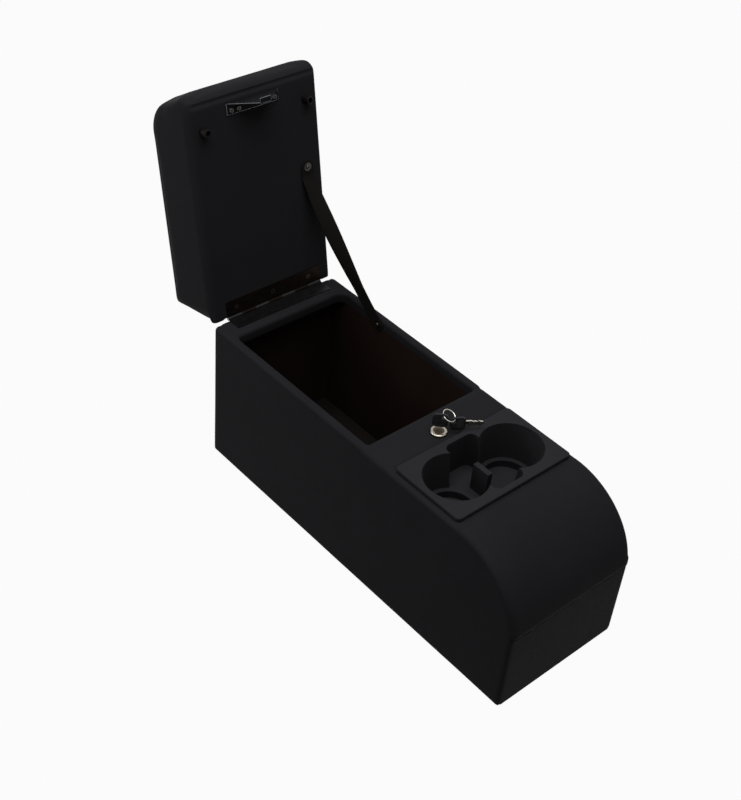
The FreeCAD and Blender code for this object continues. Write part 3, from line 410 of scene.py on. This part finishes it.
# lid: foam under stretched vinyl on its board, blown out slightly and held flat underneath
lidWrap = {
    "voxel": 0.0032, "smoothings": 1,
    "underside": 0.0012, "flatWithin": 0.0016, "flatFacing": -0.8, "insetFrom": 0.004, "inset": 0.0001,
    "noseFrom": -0.24, "noseSpan": 0.08, "nosePull": 0.0035,
    "rearFrom": -0.02, "rearSpan": 0.015, "rearReach": 0.0048, "hingeHalf": 0.087, "hingeClear": 0.0045,
    "heldTo": 0.006, "pressure": 3.5, "stiffness": 40, "frames": 16, "mostSwell": 0.0018}
hingeX, hingeY, hingeZ = joints["lid_hinge"]["pos_m"]
shut, opened = joints["lid_hinge"]["range_deg"]

# brings what is drawn on the shut lid, in metres from the hinge pin, to where the open lid has it
toOpen = Matrix.Translation((hingeX, hingeY, hingeZ)) @ Matrix.Rotation(math.radians(shut - opened), 4, "X")


# the cloth simulation: pressure swells the wrap above the board, and no point moves further than mostSwell
def blownOut(mesh):
    start = [v.co.copy() for v in mesh.vertices]
    pad = bpy.data.objects.new("lidSim", mesh)
    scene.collection.objects.link(pad)
    held = pad.vertex_groups.new(name="held")
    for v in mesh.vertices:
        if v.co.z < lidWrap["underside"] + lidWrap["heldTo"]:
            held.add([v.index], 1.0, "ADD")
    cloth = pad.modifiers.new("cloth", "CLOTH")
    cloth.settings.use_pressure = True
    cloth.settings.uniform_pressure_force = lidWrap["pressure"]
    cloth.settings.vertex_group_mass = "held"
    cloth.settings.tension_stiffness = lidWrap["stiffness"]
    cloth.settings.compression_stiffness = lidWrap["stiffness"]
    cloth.settings.effector_weights.gravity = 0
    cloth.point_cache.frame_end = lidWrap["frames"]
    for step in range(1, lidWrap["frames"] + 1):
        scene.frame_set(step)
    blown = plainMesh(pad)
    scene.frame_set(1)
    for v, rest in zip(blown.vertices, start):
        move = v.co - rest
        if move.length > lidWrap["mostSwell"]:
            v.co = rest + move.normalized() * lidWrap["mostSwell"]
    return blown


def lidMesh():
    work = joinNodes(["lid_cushion", "lid_board"])
    work.transform(toOpen.inverted())
    mesh = remeshed(work, "lidWrapRaw", lidWrap["voxel"], lidWrap["smoothings"])
    base = lidWrap["underside"]
    normals = [v.normal.copy() for v in mesh.vertices]
    for v, normal in zip(mesh.vertices, normals):
        if v.co.z < base + lidWrap["flatWithin"] and normal.z < lidWrap["flatFacing"]:
            v.co.z = base
        elif v.co.z > base + lidWrap["insetFrom"]:
            v.co -= normal * lidWrap["inset"]
        v.co.y += lidWrap["nosePull"] * clamped((lidWrap["noseFrom"] - v.co.y) / lidWrap["noseSpan"])
        # the wrap's rear end reaches past the board, and leaves room for the hinge's barrel
        if v.co.z > lidWrap["hingeClear"] or abs(v.co.x) > lidWrap["hingeHalf"]:
            v.co.y += lidWrap["rearReach"] * clamped((v.co.y - lidWrap["rearFrom"]) / lidWrap["rearSpan"])
    mesh = blownOut(mesh)
    mesh = modified(mesh, [("SMOOTH", {"factor": 0.4, "iterations": 1}),
                           ("SUBSURF", {"levels": 1, "render_levels": 1})])
    mesh.transform(toOpen)
    mesh.name = "lidWrap"
    return mesh


lidPiece = addPiece("lidWrap", lidMesh(), [bodyVinyl], "lid")
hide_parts("lid_cushion", "lid_board")
print("lid wrap made:", len(lidPiece.data.polygons), "faces")

# check strap: woven band that leaves the lid flat, turns a quarter and meets the bin's side flat
strap = {
    "width": 0.022, "thickness": 0.0016, "length": 0.2667,
    "end": 0.009, "flat": 0.012,                    # past each screw, and on to where the band hangs free
    "tip": 0.008, "tipSteps": 12, "flatSteps": 3,
    "lidEnd": (0.077, -0.181, 0.0003), "lidPull": 0.028,
    "wallEnd": (0.0951, 0.186, 0.217), "wallPull": 0.05, "wallAngle": 34,
    "twistStart": 0.14, "twistEnd": 0.76, "twistEase": 0.35, "steps": 72,
    "foldAxis": (0, 0.62, 0.785), "keep": 0.04}
# half of the band's section, across by thick: a flat oval with its woven edges a little thinner
strapSection = [(1, 0), (0.965, 0.42), (0.88, 0.5), (0.45, 0.5), (0, 0.5), (-0.45, 0.5), (-0.88, 0.5),
                (-0.965, 0.42)]


# a station of the band is where it is, the way it runs, the way it faces across, and its half width there
# a tab is the flat end at a screw, with a round tip
def strapTab(screw, along, across):
    half, tip, end = strap["width"] / 2, strap["tip"], strap["end"]
    stations = []
    for step in range(strap["tipSteps"] + 1):
        angle = math.pi / 2 * step / strap["tipSteps"]
        reach = tip * (1 - math.cos(angle))
        stations.append((screw + along * (reach - end), along, across, half - tip * (1 - math.sin(angle))))
    for step in range(1, strap["flatSteps"]):
        reach = tip + (end + strap["flat"] - tip) * step / strap["flatSteps"]
        stations.append((screw + along * (reach - end), along, across, half))
    return stations


# the free band hangs on one cubic curve between its tabs, and turns a quarter on the way
def strapStations():
    lidEnd = toOpen @ Vector(strap["lidEnd"])
    downLid = toOpen.to_3x3() @ Vector((0, 1, 0))
    wallEnd = Vector(strap["wallEnd"])
    fall = math.radians(strap["wallAngle"])
    downWall = Vector((0, -math.cos(fall), -math.sin(fall)))
    wallAcross = Vector((0, downWall.z, -downWall.y))
    poles = [lidEnd + downLid * strap["flat"], lidEnd + downLid * strap["lidPull"],
             wallEnd - downWall * strap["wallPull"], wallEnd - downWall * strap["flat"]]
    stations = strapTab(lidEnd, downLid, Vector((1, 0, 0)))
    for step in range(strap["steps"] + 1):
        t = step / strap["steps"]
        weights = ((1 - t) ** 3, 3 * t * (1 - t) ** 2, 3 * t * t * (1 - t), t ** 3)
        slopes = (-3 * (1 - t) ** 2, 3 * (1 - t) * (1 - 3 * t), 3 * t * (2 - 3 * t), 3 * t * t)
        spot = sum((p * w for p, w in zip(poles, weights)), Vector())
        along = sum((p * w for p, w in zip(poles, slopes)), Vector()).normalized()
        share = clamped((t - strap["twistStart"]) / (strap["twistEnd"] - strap["twistStart"]))
        ease = strap["twistEase"]
        turn = math.pi / 2 * (eased(share) * ease + share * (1 - ease))
        across = Vector((math.cos(turn), 0, 0)) + wallAcross * math.sin(turn)
        across = (across - along * across.dot(along)).normalized()
        stations.append((spot, along, across, strap["width"] / 2))
    wallTab = strapTab(wallEnd, -downWall, wallAcross)
    stations += [(spot, -along, across, wide) for spot, along, across, wide in reversed(wallTab)]
    return stations


def strapMesh():
    stations = strapStations()
    section = strapSection + [(-x, -y) for x, y in strapSection]
    work = bmesh.new()
    weave = work.loops.layers.uv.new("weave")
    lengths = [0.0]
    for one, other in zip(stations, stations[1:]):
        lengths.append(lengths[-1] + (other[0] - one[0]).length)
    rings = []
    for spot, along, across, wide in stations:
        normal = along.cross(across)
        rings.append([work.verts.new(spot + across * x * wide + normal * y * strap["thickness"])
                      for x, y in section])
    for ring in range(len(rings) - 1):
        for i in range(len(section)):
            j = (i + 1) % len(section)
            corners = ((ring, i), (ring, j), (ring + 1, j), (ring + 1, i))
            face = work.faces.new([rings[row][place] for row, place in corners])
            for loop, (row, place) in zip(face.loops, corners):
                loop[weave].uv = (section[place][0] * stations[row][3], lengths[row])
    work.faces.new(rings[0][::-1])
    work.faces.new(rings[-1])
    bmesh.ops.recalc_face_normals(work, faces=work.faces)
    print("strap length:", round(lengths[-1], 4))
    return toMesh(work, "checkStrap")


strapPiece = addPiece("checkStrap", strapMesh(), [webbing], "console")
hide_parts("lid_strap")
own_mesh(strapPiece)
print("check strap made")

# strike: folded sheet steel under a black coat, with a bright metal on its bevelled edges that is partly bare
# sheared steel and partly a painted highlight along the edges
strike = {"edge": 0.0005, "sharpAngle": 0.6, "shortEdge": 0.006, "flatAngle": 0.01}


# the edges between two faces that meet at more than an angle, in radians
def sharpEdges(work, angle):
    return [edge for edge in work.edges if len(edge.link_faces) == 2 and edge.calc_face_angle() > angle]


def strikeMesh():
    work = joinNodes(["strike_bracket"])
    bmesh.ops.dissolve_limit(work, angle_limit=strike["flatAngle"], verts=work.verts, edges=work.edges)
    sharp = [edge for edge in sharpEdges(work, strike["sharpAngle"])
             if edge.calc_length() > strike["shortEdge"]]
    made = bmesh.ops.bevel(work, geom=sharp, offset=strike["edge"], segments=2, profile=0.5, affect="EDGES")
    # the bevel's faces take the bright metal: bare sheared edge in part, and in part a painted highlight
    # along every long edge
    for face in made["faces"]:
        face.material_index = 1
    bmesh.ops.triangulate(work, faces=[face for face in work.faces if len(face.verts) > 4])
    return toMesh(work, "strikePlate")


strikePiece = addPiece("strikePlate", strikeMesh(), [bracketCoat, bareEdgeAndHighlight], "lid",
                       smooth=False)
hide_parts("strike_bracket")
print("strike made")

# screws: one cross-slot head drawn once for each kind and set out by Geometry Nodes
# rings are radius and height, from the head's top to the shank's end
screws = {
    "sunkRings": [(0.0034, 0), (0.0016, -0.0009), (0.0016, -0.004)],
    "panRings": [(0.0025, 0.0022), (0.0031, 0.00195), (0.0035, 0.0014), (0.0036, 0.0007), (0.0036, 0),
                 (0.0016, 0), (0.0016, -0.004)],
    "slotReach": 0.0019, "slotHalf": 0.00045, "slotDepth": 0.001, "slotFoot": (0.55, 0.8), "around": 28}


def screwHead(name, profile):
    work = bmesh.new()
    angles = [2 * math.pi * i / screws["around"] for i in range(screws["around"])]
    rings = [[work.verts.new((radius * math.cos(a), radius * math.sin(a), z)) for a in angles]
             for radius, z in profile]
    reach, half = screws["slotReach"], screws["slotHalf"]
    arm = [(reach, -half), (reach, half), (half, half)]
    cross = []
    for turn in range(4):
        cross += arm
        arm = [(-y, x) for x, y in arm]
    top = profile[0][1]
    footX, footY = screws["slotFoot"]
    mouth = [work.verts.new((x, y, top)) for x, y in cross]
    foot = [work.verts.new((x * footX, y * footY, top - screws["slotDepth"])) for x, y in cross]
    edges = [work.edges.new((ring[i], ring[(i + 1) % len(ring)])) for ring in (rings[0], mouth)
             for i in range(len(ring))]
    bmesh.ops.triangle_fill(work, edges=edges, use_beauty=True)
    addBand(work, mouth, foot)
    work.faces.new(foot)
    for upper, lower in zip(rings, rings[1:]):
        addBand(work, upper, lower)
    work.faces.new(rings[-1][::-1])
    bmesh.ops.recalc_face_normals(work, faces=work.faces)
    return bpy.data.objects.new(name, toMesh(work, name))


# a node group with its inputs, given as name and kind, and one geometry output
def newTree(name, inputs):
    tree = bpy.data.node_groups.new(name, "GeometryNodeTree")
    for title, kind in inputs:
        tree.interface.new_socket(title, in_out="INPUT", socket_type="NodeSocket" + kind)
    tree.interface.new_socket("Geometry", in_out="OUTPUT", socket_type="NodeSocketGeometry")
    return tree, addNode(tree, "NodeGroupInput").outputs


# ends a tree: the copies are made real and take their finish
def endTree(tree, copies, finish):
    real = addNode(tree, "GeometryNodeRealizeInstances", {"Geometry": copies.outputs[0]})
    painted = addNode(tree, "GeometryNodeSetMaterial", {"Geometry": real.outputs[0], "Material": finish})
    addNode(tree, "NodeGroupOutput", {"Geometry": painted.outputs[0]})
    return tree


# a tree that stands a copy of one object on each point, turned from +Z to the point's own direction
def setOutTree():
    tree, given = newTree("setOutHeads", [
        ("Geometry", "Geometry"), ("Head", "Object"), ("Size", "Float"), ("Finish", "Material")])
    head = addNode(tree, "GeometryNodeObjectInfo", {"Object": given["Head"]})
    way = addNode(tree, "GeometryNodeInputNamedAttribute", {"Name": "outward"}, data_type="FLOAT_VECTOR")
    turned = addNode(tree, "FunctionNodeAlignRotationToVector", {"Vector": way.outputs["Attribute"]},
                     axis="Z")
    copies = addNode(tree, "GeometryNodeInstanceOnPoints", {
        "Points": given["Geometry"], "Instance": head.outputs["Geometry"],
        "Rotation": turned.outputs[0], "Scale": given["Size"]})
    return endTree(tree, copies, given["Finish"])


# gives a Geometry Nodes modifier its inputs by the sockets' identifiers, and hands back the plain mesh
def grown(name, start, tree, values):
    obj = bpy.data.objects.new(name, start)
    scene.collection.objects.link(obj)
    modifier = obj.modifiers.new("grow", "NODES")
    modifier.node_group = tree
    for socket in tree.interface.items_tree:
        if socket.in_out == "INPUT" and socket.name in values:
            modifier[socket.identifier] = values[socket.name]
    obj.update_tag()
    return plainMesh(obj)


def setHeads(name, head, spots, body, replaced):
    points = bpy.data.meshes.new(name + "Points")
    points.from_pydata([spot for spot, way in spots], [], [])
    outward = points.attributes.new("outward", "FLOAT_VECTOR", "POINT")
    outward.data.foreach_set("vector", [value for spot, way in spots for value in way])
    mesh = grown(name + "Points", points, setOut, {"Head": head, "Size": 1.0, "Finish": screwSteel})
    mesh.name = name
    piece = addPiece(name, mesh, [], body, smooth=False)
    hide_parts(replaced)


setOut = setOutTree()
sunkHead = screwHead("sunkHead", screws["sunkRings"])
panHead = screwHead("panHead", screws["panRings"])
for head in (sunkHead, panHead):
    scene.collection.objects.link(head)

# the lid's screws are placed on the shut lid, in metres from the hinge pin, and the others in the frame
hingeRow = [(-0.067, -0.014), (-0.002, -0.014), (0.063, -0.014)]
hingeSunk = 0.0002
lidScrews = {
    "lidHingeScrews": (sunkHead, [(x, y, hingeSunk) for x, y in hingeRow], "hinge_lid_screws"),
    "strikeScrewHeads": (panHead, [(x, -0.2953, -0.0008) for x in (-0.042, -0.03, 0.018, 0.03)],
                         "strike_screws"),
    "bumperScrewHeads": (panHead, [(x, -0.2781, -0.0028) for x in (-0.088, 0.083)], "bumper_screws"),
    "strapLidScrewHead": (panHead, [(0.077, -0.181, -0.0016)], "strap_lid_screw"),
}
outOfLid = toOpen.to_3x3() @ Vector((0, 0, -1))
setHeads("bodyHingeScrews", sunkHead, [((x, hingeY + y, hingeZ - hingeSunk), (0, 0, 1)) for x, y in hingeRow],
         "console", "hinge_body_screws")
for name, (head, spots, replaced) in lidScrews.items():
    setHeads(name, head, [(toOpen @ Vector(spot), outOfLid) for spot in spots], "lid", replaced)
setHeads("strapWallScrewHead", panHead, [((0.0932, 0.186, 0.217), (-1, 0, 0))], "console", "strap_wall_screw")
for head in (sunkHead, panHead):
    bpy.data.objects.remove(head)
print("screws set out")

# key heads: moulded grips with rounded edges and a panel of ribs below the ring hole
# the spare key lies on its edge, so its head's own upright runs back along the key
keyHead = {
    "width": 0.021, "length": 0.021, "thickness": 0.0028, "edge": 0.0006,
    "flatAngle": 0.01, "rimAngle": 1.2, "rimTilt": 0.1,     # in radians, for finding the rim's edges
    "creaseAngle": 40,
    "ribs": 6, "pitch": 0.0021, "ribLength": 0.0095, "ribWidth": 0.0011, "ribProud": 0.0009,
    "panelMiddle": 0.0068,                          # height of the ribs' middle above the head's foot
    "foot": 0.2379, "turn": -45,                    # the key in the lock: its head's foot and its turn
    "spareTop": (0.0036, -0.0563), "spareTurn": -31.7, "spareRest": 0.2328}
lockX, lockY = joints["lock_turn"]["pos_m"][:2]
spareAlong = Matrix.Rotation(math.radians(keyHead["spareTurn"]), 4, "Z")
spareFoot = Vector((*keyHead["spareTop"], 0)) + spareAlong @ Vector((keyHead["length"], 0, 0))
spareFoot.z = keyHead["spareRest"] + keyHead["width"] / 2
keyPlaces = {
    "key_head": (Matrix.Translation((lockX, lockY, keyHead["foot"]))
                 @ Matrix.Rotation(math.radians(keyHead["turn"]), 4, "Z")),
    "spare_key_head": (Matrix.Translation(spareFoot) @ spareAlong
                       @ Matrix.Rotation(math.radians(-90), 4, "Y")),
}


# a tree that draws a row of upright ribs
def ribTree():
    tree, given = newTree("gripRibs", [
        ("Geometry", "Geometry"), ("Ribs", "Int"), ("Pitch", "Float"), ("Rib Length", "Float"),
        ("Rib Width", "Float"), ("Rib Proud", "Float"), ("Finish", "Material")])
    step = addNode(tree, "ShaderNodeCombineXYZ", {"X": given["Pitch"]})
    row = addNode(tree, "GeometryNodeMeshLine", {"Count": given["Ribs"], "Offset": step.outputs[0]})
    rib = addNode(tree, "GeometryNodeMeshUVSphere", {"Segments": 10, "Rings": 8, "Radius": 0.5})
    shape = addNode(tree, "ShaderNodeCombineXYZ", {
        "X": given["Rib Width"], "Y": given["Rib Proud"], "Z": given["Rib Length"]})
    copies = addNode(tree, "GeometryNodeInstanceOnPoints", {
        "Points": row.outputs[0], "Instance": rib.outputs[0], "Scale": shape.outputs[0]})
    return endTree(tree, copies, given["Finish"])


def gripMesh(name, place):
    work = joinNodes([name])
    bmesh.ops.dissolve_limit(work, angle_limit=keyHead["flatAngle"], verts=work.verts, edges=work.edges)
    thick = (place.to_3x3() @ Vector((0, 1, 0))).normalized()
    rim = [edge for edge in sharpEdges(work, keyHead["rimAngle"])
           if abs((edge.verts[0].co - edge.verts[1].co).normalized().dot(thick)) < keyHead["rimTilt"]]
    bmesh.ops.bevel(work, geom=rim, offset=keyHead["edge"], segments=2, profile=0.5, affect="EDGES",
                    clamp_overlap=True)
    left = -keyHead["pitch"] * (keyHead["ribs"] - 1) / 2
    for proud in (keyHead["thickness"] / 2, -keyHead["thickness"] / 2):
        row = grown("ribRow", bpy.data.meshes.new("ribRow"), ribs, {
            "Ribs": keyHead["ribs"], "Pitch": keyHead["pitch"], "Rib Length": keyHead["ribLength"],
            "Rib Width": keyHead["ribWidth"], "Rib Proud": keyHead["ribProud"], "Finish": keyMoulding})
        row.transform(place @ Matrix.Translation((left, proud, keyHead["panelMiddle"])))
        work.from_mesh(row)
    bmesh.ops.triangulate(work, faces=[face for face in work.faces if len(face.verts) > 4])
    return toMesh(work, name + "Grip")


ribs = ribTree()
for name, place in keyPlaces.items():
    title = name.replace("_", " ").title().replace(" ", "") + "Grip"
    grip = addPiece(title, gripMesh(name, place), [keyMoulding], "keys")
    grip.data.set_sharp_from_angle(angle=math.radians(keyHead["creaseAngle"]))
    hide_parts(name)
print("key heads made")

# studio: pale floor, white surroundings for the camera, a large soft light overhead and one at the left
studio = {"floor": "#505050", "floorReach": 9, "floorSeen": 0.96, "sky": 0.2}
lights = {
    "overhead": {"place": (-0.2, -0.1, 2.4), "target": (0, 0, 0.2), "width": 1.8, "power": 48.0},
    "leftSide": {"place": (-1.1, 0.9, 0.9), "target": (-0.1, 0.38, 0.42), "width": 0.6, "power": 6.0},
}


# 1 for rays that come from the camera, straight or by way of a gloss or glass, and 0 for the light on things
def seenRay(tree):
    path = addNode(tree, "ShaderNodeLightPath").outputs
    direct = addNode(tree, "ShaderNodeMath", {0: path["Is Camera Ray"], 1: path["Is Glossy Ray"]},
                     operation="ADD")
    return addNode(tree, "ShaderNodeMath", {0: direct.outputs[0], 1: path["Is Transmission Ray"]},
                   operation="ADD", use_clamp=True)


reach = studio["floorReach"]
floorMesh = bpy.data.meshes.new("floor")
floorMesh.from_pydata([(-reach, -reach, 0), (reach, -reach, 0), (reach, reach, 0), (-reach, reach, 0)], [],
                      [(0, 1, 2, 3)])
floor = bpy.data.objects.new("floor", floorMesh)
scene.collection.objects.link(floor)
floorMaterial, tree, shader = newMaterial("studioPaper", Base_Color=linear(studio["floor"]), Roughness=0.9)
bright = addNode(tree, "ShaderNodeEmission", {"Color": (1, 1, 1, 1), "Strength": 1.0})
part = addNode(tree, "ShaderNodeMath", {0: seenRay(tree).outputs[0], 1: studio["floorSeen"]},
               operation="MULTIPLY")
mix = addNode(tree, "ShaderNodeMixShader", {0: part.outputs[0], 1: shader.outputs[0], 2: bright.outputs[0]})
tree.links.new(mix.outputs[0], tree.nodes["Material Output"].inputs["Surface"])
floorMesh.materials.append(floorMaterial)

world = bpy.data.worlds.new("studio")
scene.world = world
world.use_nodes = True
tree = world.node_tree
plain = tree.nodes["Background"]
plain.inputs["Color"].default_value = (1, 1, 1, 1)
plain.inputs["Strength"].default_value = studio["sky"]
white = addNode(tree, "ShaderNodeBackground", {"Color": (1, 1, 1, 1), "Strength": 1.0})
mix = addNode(tree, "ShaderNodeMixShader", {
    0: seenRay(tree).outputs[0], 1: plain.outputs[0], 2: white.outputs[0]})
tree.links.new(mix.outputs[0], tree.nodes["World Output"].inputs["Surface"])

for name, light in lights.items():
    lamp = bpy.data.lights.new(name, "AREA")
    lamp.shape = "SQUARE"
    lamp.size = light["width"]
    lamp.energy = light["power"]
    lampObject = bpy.data.objects.new(name, lamp)
    lampObject.location = light["place"]
    facing = Vector(light["target"]) - Vector(light["place"])
    lampObject.rotation_euler = facing.to_track_quat("-Z", "Y").to_euler()
    scene.collection.objects.link(lampObject)

# camera: solved from the edges of the console in the photograph
view = {"place": (-1.0129, -0.9327, 1.3739), "yaw": 44.73, "pitch": -39.53, "roll": 5.8, "focal": 1352.33,
        "height": 800, "sensor": 36}
yaw, pitch, roll = (math.radians(view[name]) for name in ("yaw", "pitch", "roll"))
ahead = Vector((math.sin(yaw) * math.cos(pitch), math.cos(yaw) * math.cos(pitch), math.sin(pitch)))
level = Vector((math.cos(yaw), -math.sin(yaw), 0))
upright = level.cross(ahead)
across = level * math.cos(roll) + upright * math.sin(roll)
above = upright * math.cos(roll) - level * math.sin(roll)
cameraData = bpy.data.cameras.new("camera")
cameraData.sensor_fit = "VERTICAL"
cameraData.sensor_height = view["sensor"]
cameraData.lens = view["focal"] / view["height"] * view["sensor"]
camera = bpy.data.objects.new("camera", cameraData)
camera.matrix_world = Matrix((
    (across.x, above.x, -ahead.x, view["place"][0]), (across.y, above.y, -ahead.y, view["place"][1]),
    (across.z, above.z, -ahead.z, view["place"][2]), (0, 0, 0, 1)))
scene.collection.objects.link(camera)
scene.camera = camera
scene.view_settings.view_transform = "Standard"
print("studio ready")
